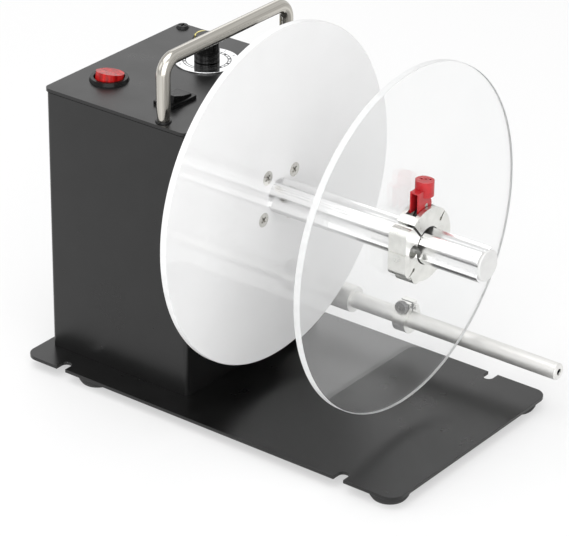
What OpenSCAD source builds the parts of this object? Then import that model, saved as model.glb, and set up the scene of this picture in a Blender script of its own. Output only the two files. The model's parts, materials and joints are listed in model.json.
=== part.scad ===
// Table-top label rewinder: sheet cabinet on a notched base, two flange discs on a fluted spindle,
// a quick-release clamp collar with a cam lever, and a guide rod with a sliding stop collar.
// X runs along the spindle, Y to the back, Z up. The origin is the middle of the footprint, on the table.

/* [Base] */
// Length of the base plate along the spindle
base_l = 265; // [250:1:290]
// Depth of the base plate
base_w = 150; // [146:1:176]
// Sheet thickness of the base plate
base_t = 2; // [1.5:0.1:3]
// Corner radius of the base plate
base_corner_r = 8; // [4:0.5:12]
// Width of the edge notches
notch_w = 6.5; // [4:0.5:9]
// Depth of the edge notches
notch_depth = 8; // [6:0.5:10]
// Left notch centre from the left end
notch_left = 28; // [20:1:32]
// Right notch centre from the right end
notch_right = 38; // [33:1:50]
// Foot diameter
foot_d = 22; // [16:0.5:24]
// Foot height
foot_h = 6; // [5:0.5:10]
// Left foot centre from the left end
foot_left = 45; // [44:1:60]
// Right foot centre from the right end
foot_right = 13; // [12:0.5:18]
// Foot centre from the long edges
foot_inset = 13; // [12.5:0.5:16]

/* [Cabinet] */
// Cabinet width along the spindle
cab_w = 101; // [98:1:110]
// Cabinet depth, with the rear panel
cab_d = 120; // [116:1:124]
// Cabinet height, without the cover
cab_h = 162; // [156:1:180]
// Cabinet sheet thickness
sheet_t = 1.5; // [1:0.1:2]
// Outer radius of the bent front corners
bend_r = 3; // [2.5:0.25:5]
// Width of the inward flanges
lip_w = 10.5; // [10:0.5:13]
// Cabinet left face from the left end of the base
cab_left = 6; // [4:0.5:10]
// Cabinet front face from the front edge of the base
cab_front = 18; // [16:0.5:20]
// Rear panel thickness
panel_t = 1.5; // [1:0.1:2]
// Cover thickness
cover_t = 2; // [1.5:0.1:3]
// Cover overhang past the walls
cover_over = 0.9; // [0.3:0.1:1.5]
// Rebate round the walls under the cover
cover_line = 0.8; // [0.4:0.1:1]
// Cover corner radius
cover_corner_r = 4; // [2:0.5:6]
// Cover screw centre from the side edges
cover_screw_x = 5.5; // [5:0.1:7]
// Cover screw centre from the back edge
cover_screw_y = 4.9; // [4.5:0.1:7]
// Cover screw head diameter
cover_head_d = 8; // [7:0.1:8.4]
// Cover screw head height
cover_head_h = 1.5; // [1.2:0.1:2.4]

/* [Spindle and discs] */
// Spindle axis above the base plate
axis_h = 112.3; // [110:0.1:118]
// Disc diameter
disc_d = 200; // [180:1:202]
// Disc thickness
disc_t = 4; // [3:0.25:5]
// Cabinet wall to the rear disc
disc_gap = 17; // [16:0.5:20]
// Clear width between the discs
disc_spacing = 86; // [70:1:92]
// Spindle diameter
spindle_d = 20.4; // [19:0.1:21]
// Spindle end from the face of the rear disc
spindle_out = 141; // [132:1:146]
// Flute width
flute_w = 8.4; // [6:0.2:9]
// Flute depth
flute_depth = 1.5; // [0.8:0.1:1.8]
// Spindle bore
spindle_bore = 12; // [10:0.5:12.5]
// End cap diameter
cap_d = 17.6; // [16:0.2:18]
// End cap thickness
cap_t = 1.5; // [1:0.1:3]
// Hub flange diameter
hub_d = 46; // [44:1:56]
// Hub flange thickness
hub_t = 8; // [6:0.5:9]
// Disc screw circle radius
disc_screw_r = 17.5; // [17:0.25:18.5]
// Disc screw head diameter
sunk_d = 8.6; // [7.6:0.1:9]
// Turn of the disc screws from the horizontal
disc_screw_turn = 37; // [30:1:60]

/* [Clamp collar] */
// Collar ring diameter
collar_d = 42.2; // [41:0.2:44]
// Rise of the ring's middle over the axis
ring_up = 0.7; // [0:0.1:1]
// Collar width
collar_w = 11.6; // [11.2:0.2:14]
// Radial clearance of the collar on the spindle
collar_clear = 0.6; // [0.4:0.1:1.2]
// Distance of the flat lug face from the axis
lug_y = 21; // [20.4:0.2:22]
// Lug top above the axis
lug_top = 15.2; // [14.6:0.2:16]
// Lug bottom below the axis
lug_bottom = 13.2; // [12:0.2:14]
// Angle of the split
split_turn = 131; // [129:1:133]
// Width of the split
split_w = 1.4; // [1:0.1:2]
// Clamp stud diameter
stud_d = 3.6; // [3:0.1:4]
// Length of the lever's slotted block along the spindle
block_w = 5.7; // [5.4:0.1:6.2]
// Slot in the lever block
block_slot = 4; // [3.8:0.1:4.4]
// Lever paddle width
paddle_w = 10.6; // [9:0.2:12]
// Lever paddle thickness
paddle_t = 9.4; // [8:0.1:10]
// Lever height above the axis
lever_top = 36.4; // [34:0.2:40]
// Lever pin diameter
pin_d = 2.5; // [2:0.1:3]

/* [Guide rod] */
// Rod diameter
rod_d = 10; // [9:0.25:11]
// Rod axis outside the rim of the discs
rod_clear = 15; // [14.8:0.1:18]
// Rod axis above the base plate
rod_h = 19.9; // [18:0.1:20.4]
// Rod end past the right end of the base
rod_overhang = 10; // [8:1:20]
// Threaded hole in the rod end
rod_tap_d = 4; // [3:0.5:5]
// Depth of that hole
rod_tap_l = 14; // [10:1:20]
// Rod socket diameter
socket_d = 16; // [15:0.5:17]
// Rod socket length
socket_l = 18.5; // [16:0.5:22]
// Bracket plate thickness
bracket_t = 5; // [4:0.5:6]
// Stop collar diameter
stop_d = 16.8; // [15:0.2:17.4]
// Stop collar width
stop_w = 8.5; // [7.5:0.5:10]
// Stop collar middle from the face of the rear disc
stop_at = 39.2; // [36:0.2:46]
// Thumbscrew head diameter
thumb_d = 7; // [6:0.2:7.4]
// Thumbscrew axis above the rod axis
thumb_up = 9; // [8.6:0.1:9.2]

/* [Handle and controls] */
// Handle bar diameter
handle_d = 8; // [7:0.5:9]
// Handle leg axis from the front and back faces of the cabinet
handle_inset = 5; // [4.8:0.1:9]
// Handle bar axis above the cover
handle_h = 35.6; // [30:0.5:44]
// Handle bend radius on the axis
handle_bend = 9; // [6:0.5:14]
// Handle from the right edge of the cover
handle_x = 20.3; // [18:0.1:22]
// Handle leg diameter at the foot
handle_foot_d = 6.8; // [6:0.1:8]
// Length of the taper above the foot
handle_foot_l = 8; // [4:0.5:14]
// Handle washer diameter
washer_d = 9.4; // [9.2:0.1:11]
// Handle washer thickness
washer_t = 1; // [0.8:0.1:2]
// Power switch from the left edge of the cover
power_x = 21.8; // [20:0.1:24]
// Switches from the front edge of the cover
switch_y = 31.5; // [28:0.1:34]
// Power switch bezel diameter
power_d = 23; // [22:0.5:25]
// Power rocker radius
power_r = 8.1; // [7.6:0.1:8.3]
// Power rocker height over the cover, at its pivot
power_key_h = 4.3; // [3.6:0.1:5]
// Power rocker tilt at rest
power_tilt = 11; // [8:1:12]
// Slope of each face of the power rocker
power_slope = 2; // [1:0.5:4]
// Direction switch from the left edge of the cover
dir_x = 69.6; // [67:0.1:71]
// Direction switch bezel along the spindle
dir_w = 14.2; // [13.5:0.1:15]
// Direction switch bezel depth
dir_l = 21.6; // [21:0.1:23]
// Direction rocker half length
dir_r = 7.8; // [7:0.1:8]
// Direction rocker height over the cover, at its pivot
dir_key_h = 4.2; // [3.4:0.1:4.6]
// Direction rocker tilt at rest
dir_tilt = 13; // [9:1:14]
// Slope of each face of the direction rocker
dir_slope = 4; // [2:0.5:6]
// Speed knob from the left edge of the cover
knob_x = 48.3; // [46:0.1:51]
// Speed knob from the front edge of the cover
knob_y = 86.3; // [82:0.1:88]
// Knob skirt diameter
knob_d = 14.8; // [13:0.1:17]
// Knob height
knob_h = 15; // [12:0.5:18]
// Dial plate diameter
dial_d = 37.4; // [32:0.2:39]
// Dial plate thickness
dial_t = 0.8; // [0.5:0.1:1.2]
// Push button from the left edge of the cover
button_x = 26.8; // [24:0.1:28]
// Push button from the back edge of the cover
button_y = 12.3; // [11:0.1:14]
// Push button bezel diameter
button_d = 13; // [12:0.5:15]
// Push button cap diameter
button_cap_d = 9.8; // [9:0.2:10.4]
// Push button travel
button_travel = 1.25; // [1:0.25:2.5]

/* [Drive] */
// Drive shaft diameter
shaft_d = 15; // [14:0.5:15.5]
// Bearing outer diameter
bearing_d = 32; // [30:1:34]
// Bearing width
bearing_w = 9; // [8:0.5:10]
// Bearing housing tube diameter
housing_d = 40; // [39:1:44]
// Bearing housing flange diameter
housing_flange_d = 62; // [60:1:66]
// Bearing housing length behind the wall
housing_l = 57; // [50:1:60]
// Driven pulley belt seat diameter
driven_d = 50; // [44:1:52]
// Motor pulley belt seat diameter
driver_d = 24; // [20:1:28]
// Shaft to motor distance
belt_span = 70; // [66:1:74]
// Belt width
belt_w = 8; // [6:0.5:9]
// Belt thickness
belt_t = 2; // [1.5:0.1:2.5]
// Pulley width
pulley_w = 12; // [11.5:0.5:14]
// Motor diameter
motor_d = 37; // [34:0.5:38]
// Gearbox length
gearbox_l = 24; // [20:1:26]
// Motor can length
motor_l = 28; // [24:1:30]
// Motor shaft diameter
motor_shaft_d = 6; // [5:0.5:8]
// Motor bracket thickness
mount_t = 3; // [2:0.25:4]
// Control board width
board_w = 31; // [28:0.5:32]
// Control board standoff height
standoff_h = 6; // [4:0.5:10]

/* [Fits] */
// Running clearance on radius
run_fit = 0.06; // [0.03:0.01:0.1]
// Assembly clearance on radius
seat_fit = 0.02; // [0.01:0.01:0.05]
// Air gap between moving pieces
air = 0.4; // [0.3:0.05:0.6]

/* [Fasteners] */
// Pan head diameter of the case screws
pan_d = 7.6; // [7:0.1:8]
// Pan head height of the case screws
pan_h = 2.4; // [2:0.1:3]
// Case screw diameter
m4_d = 4; // [3.5:0.25:4.5]
// Small screw head diameter
small_d = 6; // [5.5:0.1:6.4]
// Small screw head height
small_h = 2; // [1.6:0.1:2.4]
// Small screw diameter
m3_d = 3; // [2.5:0.1:3.4]

/* [Hidden] */
$fn = 72;
eps = 0.01;
// Cutting margin past a face
cut = 1;
// Inner sizes of feet, panel and cover
foot_recess = 0.6;
foot_taper = 3;
weld_stud_l = 5;
nut_d = 8;
nut_h = 2.4;
vent_n = 7;
vent_w = 2;
vent_step = 5;
vent_l = 34;
vent_z = 30;
tab_w = 12;
tab_t = 1.2;
tab_drop = sheet_t + air + tab_t;
bolt_up = 13;
cover_grip = 5.5;
screw_past = 3;
bolt_head_d = 5.6;
bolt_head_h = 4;
// Bodies of the switches, knob and inlet
bezel_h = 2;
bezel_bevel = 1.4;
switch_h = 18;
power_body_d = power_d - 3;
dir_body_w = dir_w - 2;
dir_body_l = dir_l - 2.4;
dir_key_w = dir_w - 4.4;
key_low = 3;
key_gap = 0.9;
pivot_d = 2.4;
pivot_in = 0.7;
power_pin = power_r + key_gap + pivot_in;
dir_pin = dir_key_w/2 + air + pivot_in;
bezel_r = 1;
key_drop = 8;
blade_w = 4.8;
blade_t = 0.8;
blade_l = 8;
blade_step = 5.4;
pot_d = 24;
pot_h = 12;
bush_d = 9;
pot_shaft_d = 6;
skirt_h = 6.2;
skirt_w = 0.7;
knob_taper = 0.8;
knob_roof = 3;
knob_ribs = 12;
rib_d = 1;
mark_w = 0.9;
button_body_d = button_d - 2;
button_dome = 0.6;
inlet_d = 11;
inlet_flange_d = 14;
inlet_nut_t = 3;
inlet_l = 14;
inlet_up = 62;
inlet_floor = 4;
lip_end = 34;
panel_low = 40;
panel_high = 22;
pot_floor = 2;
jack_d = 6.4;
jack_pin_d = 2;
// Board, motor, pulleys and bearings
board_t = 1.6;
board_gap = 2;
board_hole = 4;
sink_l = 22;
sink_w = 14;
sink_base_t = 2;
sink_fin_h = 15;
sink_fins = 5;
capacitor_d = 10;
capacitor_h = 16;
terminal_l = 24;
terminal_w = 8;
terminal_h = 10;
relay_l = 10;
relay_h = 12;
can_step = 3;
motor_boss_d = 12;
motor_tag = 8;
motor_tag_l = 6;
motor_screw_r = 15.5;
motor_screw_l = 4;
shaft_end = 4;
shaft_past = 2;
mount_w = 50;
mount_foot = 34;
wire_d = 3;
rim_h = 2;
rim_t = 1.2;
pulley_gap = 15;
mount_gap = 4;
stub_l = 26;
housing_flange_t = 5;
housing_screw_r = 26;
nose_d = bearing_d + 6;
nose_out = 1;
shoulder = 3;
race_t = 2.4;
seal_in = 0.6;
pilot_d = shaft_d + 5;
// Spindle score lines, end plug and front disc screws
score_turn = 4;
score_w = 0.3;
score_depth = 0.25;
plug_l = 12;
flange_r = 15.8;
flange_turns = [35, 255, 330];
flange_screw_l = 7;
sink_h = 1.8;
// Stop collar lug, peg and thumbscrew
lug_in = 3;
lug_back = 4.4;
lug_over = 2.1;
stop_split = 1.2;
peg_d = 3.6;
peg_l = 2.6;
peg_y = 1.2;
peg_drop = 0.6;
thumb_h = 3.4;
thumb_rib = 0.7;
thumb_ribs = 15;
thumb_end = 0.2;
hex_d = 3;
// Bracket of the rod
bracket_in = 14.5;
bracket_step = 12;
arm_over = 1.5;
rod_back = 1.5;
rod_bevel = 0.7;
z_base = foot_h + base_t;
z_axis = z_base + axis_h;
z_cover = z_base + cab_h;
z_top = z_cover + cover_t;
z_pot = z_cover - pot_h + pot_floor;
x_base0 = -(base_l + rod_overhang)/2;
x_base1 = x_base0 + base_l;
x_rod1 = x_base1 + rod_overhang;
cab_x0 = x_base0 + cab_left;
cab_x1 = cab_x0 + cab_w;
cab_y0 = -base_w/2 + cab_front;
cab_y1 = cab_y0 + cab_d;
cab_xc = (cab_x0 + cab_x1)/2;
cab_yc = (cab_y0 + cab_y1)/2;
cov_x0 = cab_x0 - cover_over;
cov_x1 = cab_x1 + cover_over;
cov_y0 = cab_y0 - cover_over;
cov_y1 = cab_y1 + cover_over;
x_wall = cab_x1 - sheet_t;
x_nose = cab_x1 + nose_out;
y_wall = cab_y1 - panel_t;
x_disc = cab_x1 + disc_gap;
x_face = x_disc + disc_t;
x_front = x_face + disc_spacing;
x_collar = x_front + disc_t;
x_collar1 = x_collar + collar_w;
x_mid = x_collar + collar_w/2;
x_end = x_face + spindle_out;
x_hub = x_disc - hub_t;
collar_bore = spindle_d/2 + collar_clear;
z_rod = z_base + rod_h;
rod_y = sqrt(pow(disc_d/2 + rod_clear, 2) - pow(axis_h - rod_h, 2));
x_stop = x_face + stop_at - stop_w/2;
x_socket = cab_x1 + bracket_t;
x_housing0 = x_wall - housing_l;
x_pulley1 = x_housing0 - pulley_gap;
x_pulley0 = x_pulley1 - pulley_w;
x_belt = (x_pulley0 + x_pulley1)/2;
z_motor = z_axis - belt_span;
x_mount1 = x_pulley1 + mount_gap + mount_t;
x_handle = cov_x1 - handle_x;
y_h0 = cab_y0 + handle_inset;
y_h1 = cab_y1 - handle_inset;
handle_span = cab_d - 2*handle_inset;
z_bar = z_top + handle_h;
px = cov_x0 + power_x;
sy = cov_y0 + switch_y;
dx = cov_x0 + dir_x;
kx = cov_x0 + knob_x;
ky = cov_y0 + knob_y;
bx = cov_x0 + button_x;
by = cov_y1 - button_y;
// Lever pin above and beside the spindle axis
pin_y = 1.5;
pin_z = collar_d/2 + 1.4;
pin_eye_d = 5;
eye_w = stud_d - 0.6;
stud_turn = 222;
stud_l = 22;
stud_free = 14;
// Lever cam, block and paddle, from the pin
cam_r = 4.8;
block_front = 7.7;
block_down = 3.2;
block_up = 9.5;
slot_up = 8.5;
slot_back = 3.4;
paddle_y = 1.8;
paddle_low = 5;
paddle_r = paddle_t/2 - 0.3;
scallop_d = 1.5;
scallop_deep = 3;
scallop_step = 2.4;
scallop_back = 0.9;
scallop_turn = 28;
// Pocket for the cam, lug and lobe of the collar, slots in its face
pocket_low = 8.8;
pocket_front = 10.6;
pocket_l = 19.2;
lug_w = 13;
lug_r = 4.5;
lobe_r = 5.2;
lobe_y = 9;
lobe_z = 14.4;
relief_r = 3.8;
relief_out = 3.1;
relief_z = 1.4;
seam_w = 0.9;
seam_deep = 0.4;
seam_z = 1.7;
slit_w = 1;
slit_end_d = 2.2;
slit_deep = 2.5;
slit_r = 16.4;
slit_turns = [46, 217];
feet = [for (x = [x_base0 + foot_left, x_base1 - foot_right], y = [-1, 1])
  [x, y*(base_w/2 - foot_inset)]];
notches = [for (x = [x_base0 + notch_left, x_base1 - notch_right], y = [-1, 1]) [x, y]];
cover_screw_at = [for (x = [cov_x0 + cover_screw_x, cov_x1 - cover_screw_x]) [x, cov_y1 - cover_screw_y]];
lip_in = lip_w/2 + 1;
lip_at = [for (x = [cab_x0 + lip_in, cab_x1 - lip_in], y = [cab_y0 + lip_end, cab_y1 - lip_end]) [x, y]];
panel_at = [for (x = [cab_x0 + lip_in, cab_x1 - lip_in], z = [z_base + panel_low, z_cover - panel_high])
  [x, z]];
motor_at = [for (a = [0:60:300]) [motor_screw_r*cos(a), motor_screw_r*sin(a)]];
housing_at = [for (a = [45:90:315]) [housing_screw_r*cos(a), housing_screw_r*sin(a)]];
bracket_at = [cab_y1 - bracket_in, cab_y1 - bracket_in - bracket_step];
mount_at = [for (x = [0.3, 0.75], y = [-0.36, 0.36]) [x_mount1 + x*mount_foot, y*mount_w]];
board_x0 = cab_x0 + lip_w + board_gap;
board_l = cab_w - 2*(lip_w + board_gap);
board_y0 = y_wall - lip_w/2 - board_w;
board_at = [for (x = [board_x0 + board_hole, board_x0 + board_l - board_hole],
  y = [board_y0 + board_hole, board_y0 + board_w - board_hole]) [x, y]];
z_board = z_base + standoff_h;
z_parts = z_board + board_t;
inlet_x = cab_x0 + cab_w*0.3;
inlet_z = z_base + inlet_up;

module rrect(w, d, r) {
  square([w - 2*r, d], center = true);
  square([w, d - 2*r], center = true);
  for (x = [-1, 1], y = [-1, 1]) translate([x*(w/2 - r), y*(d/2 - r)]) circle(r);
}

module xcyl(d, l) {
  rotate([0, 90, 0]) cylinder(d = d, h = l);
}

module ycyl(d, l) {
  rotate([-90, 0, 0]) cylinder(d = d, h = l);
}

// A profile drawn in Y and Z, pushed along X
module xprism(l) {
  rotate([90, 0, 90]) linear_extrude(l) children();
}

module pan_screw(hd, hh, d, l) {
  difference() {
    union() {
      cylinder(d1 = hd, d2 = hd*0.78, h = hh);
      translate([0, 0, -l]) cylinder(d = d, h = l + eps);
    }
    for (a = [0, 90]) rotate(a) translate([-hd*0.27, -hd*0.065, hh*0.35])
      cube([hd*0.54, hd*0.13, hh]);
  }
}

// Upright hole through a sheet, with the cutting margin on both sides
module hole(d, t) {
  translate([0, 0, -cut]) cylinder(d = d + 2*seat_fit, h = t + 2*cut);
}

// The same hole along X
module xhole(d, t) {
  rotate([0, 90, 0]) hole(d, t);
}

// Countersunk screw, its face at zero
module sunk_screw(hd, d, l) {
  sink = (hd - d)/2;
  difference() {
    union() {
      translate([0, 0, -sink]) cylinder(d1 = d, d2 = hd, h = sink);
      translate([0, 0, -l]) cylinder(d = d, h = l - sink + eps);
    }
    for (a = [0, 90]) rotate(a) translate([-hd*0.25, -hd*0.06, -sink*0.6]) cube([hd*0.5, hd*0.12, sink]);
  }
}

module base_plate() color("#2b2b2b") {
  difference() {
    translate([(x_base0 + x_base1)/2, 0, foot_h]) linear_extrude(base_t) rrect(base_l, base_w, base_corner_r);
    for (n = notches) translate([n[0], n[1]*base_w/2, foot_h - cut]) {
      translate([0, -n[1]*(notch_depth - notch_w/2), 0]) cylinder(d = notch_w, h = base_t + 2*cut);
      translate([-notch_w/2, n[1] > 0 ? -notch_depth + notch_w/2 : -cut, 0])
        cube([notch_w, notch_depth - notch_w/2 + cut, base_t + 2*cut]);
    }
    for (p = concat(lip_at, mount_at)) translate([p[0], p[1], foot_h]) hole(m4_d, base_t);
  }
  for (p = feet) translate([p[0], p[1], foot_h - weld_stud_l]) cylinder(d = m4_d, h = weld_stud_l + eps);
}

module rubber_feet() color("#232323") for (p = feet) translate([p[0], p[1], 0]) difference() {
  union() {
    cylinder(d1 = foot_d - foot_taper, d2 = foot_d, h = foot_h*(1 - foot_recess));
    translate([0, 0, foot_h*(1 - foot_recess)]) cylinder(d = foot_d, h = foot_h*foot_recess);
  }
  translate([0, 0, -cut]) cylinder(d = nut_d + 2*air, h = foot_h*foot_recess + cut);
  cylinder(d = m4_d + 2*seat_fit, h = foot_h + cut);
}

module foot_nuts() color("#8a8d90") for (p = feet) translate([p[0], p[1], foot_h*foot_recess - nut_h])
  difference() {
    cylinder(d = nut_d, h = nut_h, $fn = 6);
    hole(m4_d, nut_h);
  }

module shell_plan(inset) {
  translate([cab_xc, cab_y0 + cab_d/2 + bend_r])
    rrect(cab_w - 2*inset, cab_d + 2*bend_r - 2*inset, bend_r - inset);
}

module cabinet_shell() color("#2e2e2e") difference() {
  union() {
    difference() {
      translate([0, 0, z_base]) linear_extrude(cab_h) shell_plan(0);
      translate([0, 0, z_base - cut]) linear_extrude(cab_h + 2*cut) shell_plan(sheet_t);
      translate([cab_x0 - cut, y_wall, z_base - cut]) cube([cab_w + 2*cut, cab_d, cab_h + 2*cut]);
    }
    for (z = [z_base, z_cover - sheet_t]) {
      for (x = [cab_x0 + sheet_t - eps, cab_x1 - lip_w]) translate([x, cab_y0 + bend_r, z])
        cube([lip_w - sheet_t + eps, cab_d - bend_r - panel_t, sheet_t]);
      translate([cab_x0 + bend_r, cab_y0 + sheet_t - eps, z])
        cube([cab_w - 2*bend_r, lip_w - sheet_t, sheet_t]);
    }
    for (x = [cab_x0 + sheet_t - eps, cab_x1 - lip_w]) translate([x, y_wall - sheet_t, z_base])
      cube([lip_w - sheet_t + eps, sheet_t, cab_h]);
  }
  translate([0, 0, z_cover - cover_line]) linear_extrude(cover_line + cut) difference() {
    shell_plan(-bend_r);
    shell_plan(cover_line);
  }
  translate([x_wall, 0, z_axis]) xhole(nose_d, sheet_t);
  for (p = housing_at) translate([x_wall, p[0], z_axis + p[1]]) xhole(m4_d, sheet_t);
  for (y = bracket_at) translate([x_wall, y, z_rod]) xhole(m4_d, sheet_t);
  for (p = lip_at) translate([p[0], p[1], z_base]) hole(m4_d, sheet_t);
  for (p = panel_at) translate([p[0], y_wall - sheet_t - cut, p[1]]) ycyl(m3_d + 2*seat_fit, sheet_t + 2*cut);
  for (p = cover_screw_at) translate([p[0], p[1], z_cover - cover_grip]) hole(m4_d, cover_grip);
  translate([x_handle, y_h0, z_cover - sheet_t]) hole(bolt_head_d + 2*air, sheet_t);
}

module base_screws() color("#8a8d90") for (p = lip_at) translate([p[0], p[1], foot_h])
  mirror([0, 0, 1]) pan_screw(pan_d, pan_h, m4_d, base_t + sheet_t + screw_past);

module rear_panel() color("#2e2e2e") difference() {
  translate([cab_x0, y_wall, z_base]) cube([cab_w, panel_t, cab_h]);
  for (p = panel_at) translate([p[0], y_wall - cut, p[1]]) ycyl(m3_d + 2*seat_fit, panel_t + 2*cut);
  translate([inlet_x, y_wall - cut, inlet_z]) ycyl(inlet_d + 2*seat_fit, panel_t + 2*cut);
  for (i = [0:vent_n - 1]) translate([cab_xc + vent_w + i*vent_step, y_wall - cut, z_base + vent_z]) {
    cube([vent_w, panel_t + 2*cut, vent_l]);
    for (z = [0, vent_l]) translate([vent_w/2, 0, z]) ycyl(vent_w, panel_t + 2*cut);
  }
}

module panel_screws() color("#5a5c5e") for (p = panel_at) translate([p[0], cab_y1, p[1]])
  rotate([-90, 0, 0]) pan_screw(small_d, small_h, m3_d, panel_t + sheet_t + screw_past);

module top_cover() color("#333333") difference() {
  union() {
    translate([cab_xc, cab_yc, z_cover]) linear_extrude(cover_t)
      rrect(cov_x1 - cov_x0, cov_y1 - cov_y0, cover_corner_r);
    for (x = [cab_xc - 2*tab_w, cab_xc + tab_w]) translate([x, cab_y0 + lip_w + air, z_cover - tab_drop]) {
      cube([tab_w, tab_t, tab_drop + eps]);
      translate([0, -tab_w/2, 0]) cube([tab_w, tab_w/2 + eps, tab_t]);
    }
  }
  for (p = cover_screw_at) translate([p[0], p[1], z_cover]) hole(m4_d, cover_t);
  for (y = [y_h0, y_h1]) translate([x_handle, y, z_cover]) hole(m3_d, cover_t);
  translate([px, sy, z_cover]) hole(power_body_d, cover_t);
  translate([dx - dir_body_w/2 - seat_fit, sy - dir_body_l/2 - seat_fit, z_cover - cut])
    cube([dir_body_w + 2*seat_fit, dir_body_l + 2*seat_fit, cover_t + 2*cut]);
  translate([kx, ky, z_cover]) hole(bush_d, cover_t);
  translate([bx, by, z_cover]) hole(button_body_d, cover_t);
}

module cover_screws() color("#1f1f1f") for (p = cover_screw_at) translate([p[0], p[1], z_top])
  rotate(20) pan_screw(cover_head_d, cover_head_h, m4_d, cover_t + cover_grip);

module elbow() {
  rotate([90, 0, 90]) rotate_extrude(angle = 90) translate([handle_bend, 0]) circle(d = handle_d);
}

module carry_handle() color("#b5b1aa") translate([x_handle, 0, 0]) difference() {
  leg_l = handle_h - handle_bend - washer_t;
  union() {
    for (y = [y_h0, y_h1]) translate([0, y, z_top + washer_t]) {
      cylinder(d1 = handle_foot_d, d2 = handle_d, h = handle_foot_l);
      translate([0, 0, handle_foot_l - eps]) cylinder(d = handle_d, h = leg_l - handle_foot_l + eps);
    }
    translate([0, y_h0 + handle_bend, z_bar]) ycyl(handle_d, handle_span - 2*handle_bend);
    translate([0, y_h1 - handle_bend, z_bar - handle_bend]) elbow();
    translate([0, y_h0 + handle_bend, z_bar - handle_bend]) mirror([0, 1, 0]) elbow();
  }
  for (y = [y_h0, y_h1]) translate([0, y, z_top]) cylinder(d = m3_d + 2*seat_fit, h = bolt_up + air);
}

module handle_washers() color("#1d1d1d") for (y = [y_h0, y_h1]) translate([x_handle, y, z_top]) difference() {
  cylinder(d1 = washer_d, d2 = washer_d - 1, h = washer_t);
  hole(m3_d, washer_t);
}

module handle_bolts() color("#8a8d90") for (y = [y_h0, y_h1]) translate([x_handle, y, 0]) {
  translate([0, 0, z_cover - bolt_head_h]) difference() {
    cylinder(d = bolt_head_d, h = bolt_head_h);
    translate([0, 0, -cut]) cylinder(d = hex_d, h = bolt_head_h/2 + cut, $fn = 6);
  }
  translate([0, 0, z_cover - eps]) cylinder(d = m3_d, h = cover_t + bolt_up);
}

module power_switch() color("#1a1a1a") translate([px, sy, z_top]) difference() {
  union() {
    cylinder(d1 = power_d, d2 = power_d - bezel_bevel, h = bezel_h);
    translate([0, 0, -switch_h]) cylinder(d = power_body_d, h = switch_h + eps);
    for (x = [-blade_step, 0, blade_step]) translate([x - blade_w/2, -blade_t/2, -switch_h - blade_l])
      cube([blade_w, blade_t, blade_l + eps]);
  }
  translate([0, 0, -key_drop]) cylinder(r = power_r + key_gap, h = key_drop + bezel_h + cut);
  translate([-power_pin, 0, 0]) xcyl(pivot_d + 2*run_fit, 2*power_pin);
}

// Side view of a rocker: two sloping faces meet over the pivot
module rocker_side(half, mid, slope) {
  rise = mid + half*tan(slope);
  polygon([[-half, -key_low], [half, -key_low], [half, rise], [0, mid], [-half, rise]]);
}

module power_rocker() color("#c8202a") translate([px, sy, z_top]) rotate([-power_tilt, 0, 0]) {
  intersection() {
    translate([0, 0, -2*key_low]) cylinder(r = power_r, h = 4*power_r);
    translate([-2*power_r, 0, 0]) xprism(4*power_r) rocker_side(2*power_r, power_key_h, power_slope);
  }
  translate([-power_pin + run_fit, 0, 0]) xcyl(pivot_d, 2*(power_pin - run_fit));
}

module direction_switch() color("#1a1a1a") translate([dx, sy, z_top]) difference() {
  union() {
    linear_extrude(bezel_h) rrect(dir_w, dir_l, bezel_r);
    translate([-dir_body_w/2, -dir_body_l/2, -switch_h]) cube([dir_body_w, dir_body_l, switch_h + eps]);
    for (y = [-blade_step, 0, blade_step]) translate([-blade_w/2, y - blade_t/2, -switch_h - blade_l])
      cube([blade_w, blade_t, blade_l + eps]);
  }
  translate([-dir_key_w/2 - air, -dir_r - key_gap, -key_drop])
    cube([dir_key_w + 2*air, 2*(dir_r + key_gap), key_drop + bezel_h + cut]);
  translate([-dir_pin, 0, 0]) xcyl(pivot_d + 2*run_fit, 2*dir_pin);
}

module direction_rocker() color("#151515") translate([dx, sy, z_top]) rotate([-dir_tilt, 0, 0]) {
  translate([-dir_key_w/2, 0, 0]) xprism(dir_key_w) rocker_side(dir_r, dir_key_h, dir_slope);
  translate([-dir_pin + run_fit, 0, 0]) xcyl(pivot_d, 2*(dir_pin - run_fit));
}

module dial_plate() color("#d5d6d6") translate([kx, ky, z_top]) difference() {
  cylinder(d = dial_d, h = dial_t);
  hole(bush_d, dial_t);
}

module potentiometer() color("#9a9c9e") translate([kx, ky, 0]) difference() {
  union() {
    translate([0, 0, z_cover - pot_h]) cylinder(d = pot_d, h = pot_h);
    translate([0, 0, z_cover - eps]) cylinder(d = bush_d, h = cover_t + dial_t);
    for (x = [-blade_step, 0, blade_step]) translate([x - blade_t, -pot_d/2 - blade_l/2, z_pot])
      cube([2*blade_t, blade_l/2 + cut, blade_t]);
  }
  translate([0, 0, z_pot]) cylinder(d = pot_shaft_d + 2*run_fit, h = pot_h + cover_t + dial_t);
}

module pot_shaft() color("#c9c9c6") translate([kx, ky, z_pot + air])
  cylinder(d = pot_shaft_d, h = pot_h - pot_floor - air + cover_t + dial_t + knob_h - knob_roof - air);

module speed_knob() color("#161616") translate([kx, ky, z_top + dial_t + air]) difference() {
  union() {
    cylinder(d = knob_d, h = skirt_h);
    cylinder(d1 = knob_d - 2*skirt_w, d2 = knob_d - 2*skirt_w - knob_taper, h = knob_h);
    for (a = [0:360/knob_ribs:359]) rotate(a) translate([knob_d/2 - skirt_w - knob_taper/2, 0, 0])
      cylinder(d = rib_d, h = knob_h - rib_d);
  }
  translate([0, 0, -cut]) cylinder(d = pot_shaft_d + 2*seat_fit, h = knob_h - knob_roof + cut);
  translate([-mark_w/2, -knob_d/2, knob_h - mark_w/2]) cube([mark_w, knob_d/2 - mark_w, mark_w]);
}

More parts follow.
